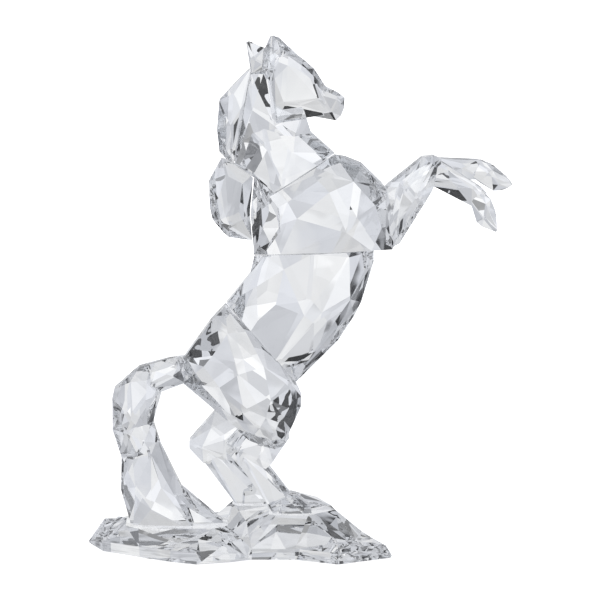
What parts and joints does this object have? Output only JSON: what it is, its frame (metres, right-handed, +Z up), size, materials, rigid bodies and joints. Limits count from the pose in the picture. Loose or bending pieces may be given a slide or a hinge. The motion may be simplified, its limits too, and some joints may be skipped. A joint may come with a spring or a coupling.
{
  "type": "rearing horse figurine",
  "caption": "Faceted clear crystal figurine of a rearing horse, standing on its hind legs and tail on a cut crystal base.",
  "frame": {"origin": "centre of the figure's bounding box in plan, on the base's underside", "axes": "+X the way the horse faces, +Y its left, +Z up"},
  "size_m": [0.132, 0.0474, 0.1618],
  "materials": {
    "crystal": "polished clear lead crystal, flat cut facets",
    "crystal_base": "polished clear lead crystal, rocky cut top and plain rim"
  },
  "bodies": {
    "root": {"base": "crystal_base", "tail": "crystal", "hindquarters": "crystal", "hind_leg_right": "crystal", "hind_leg_left": "crystal", "trunk": "crystal", "chest": "crystal", "neck": "crystal", "mane_upper": "crystal", "mane_lower": "crystal", "head": "crystal", "foreleg_right": "crystal", "foreleg_left": "crystal"}
  },
  "joints": []
}
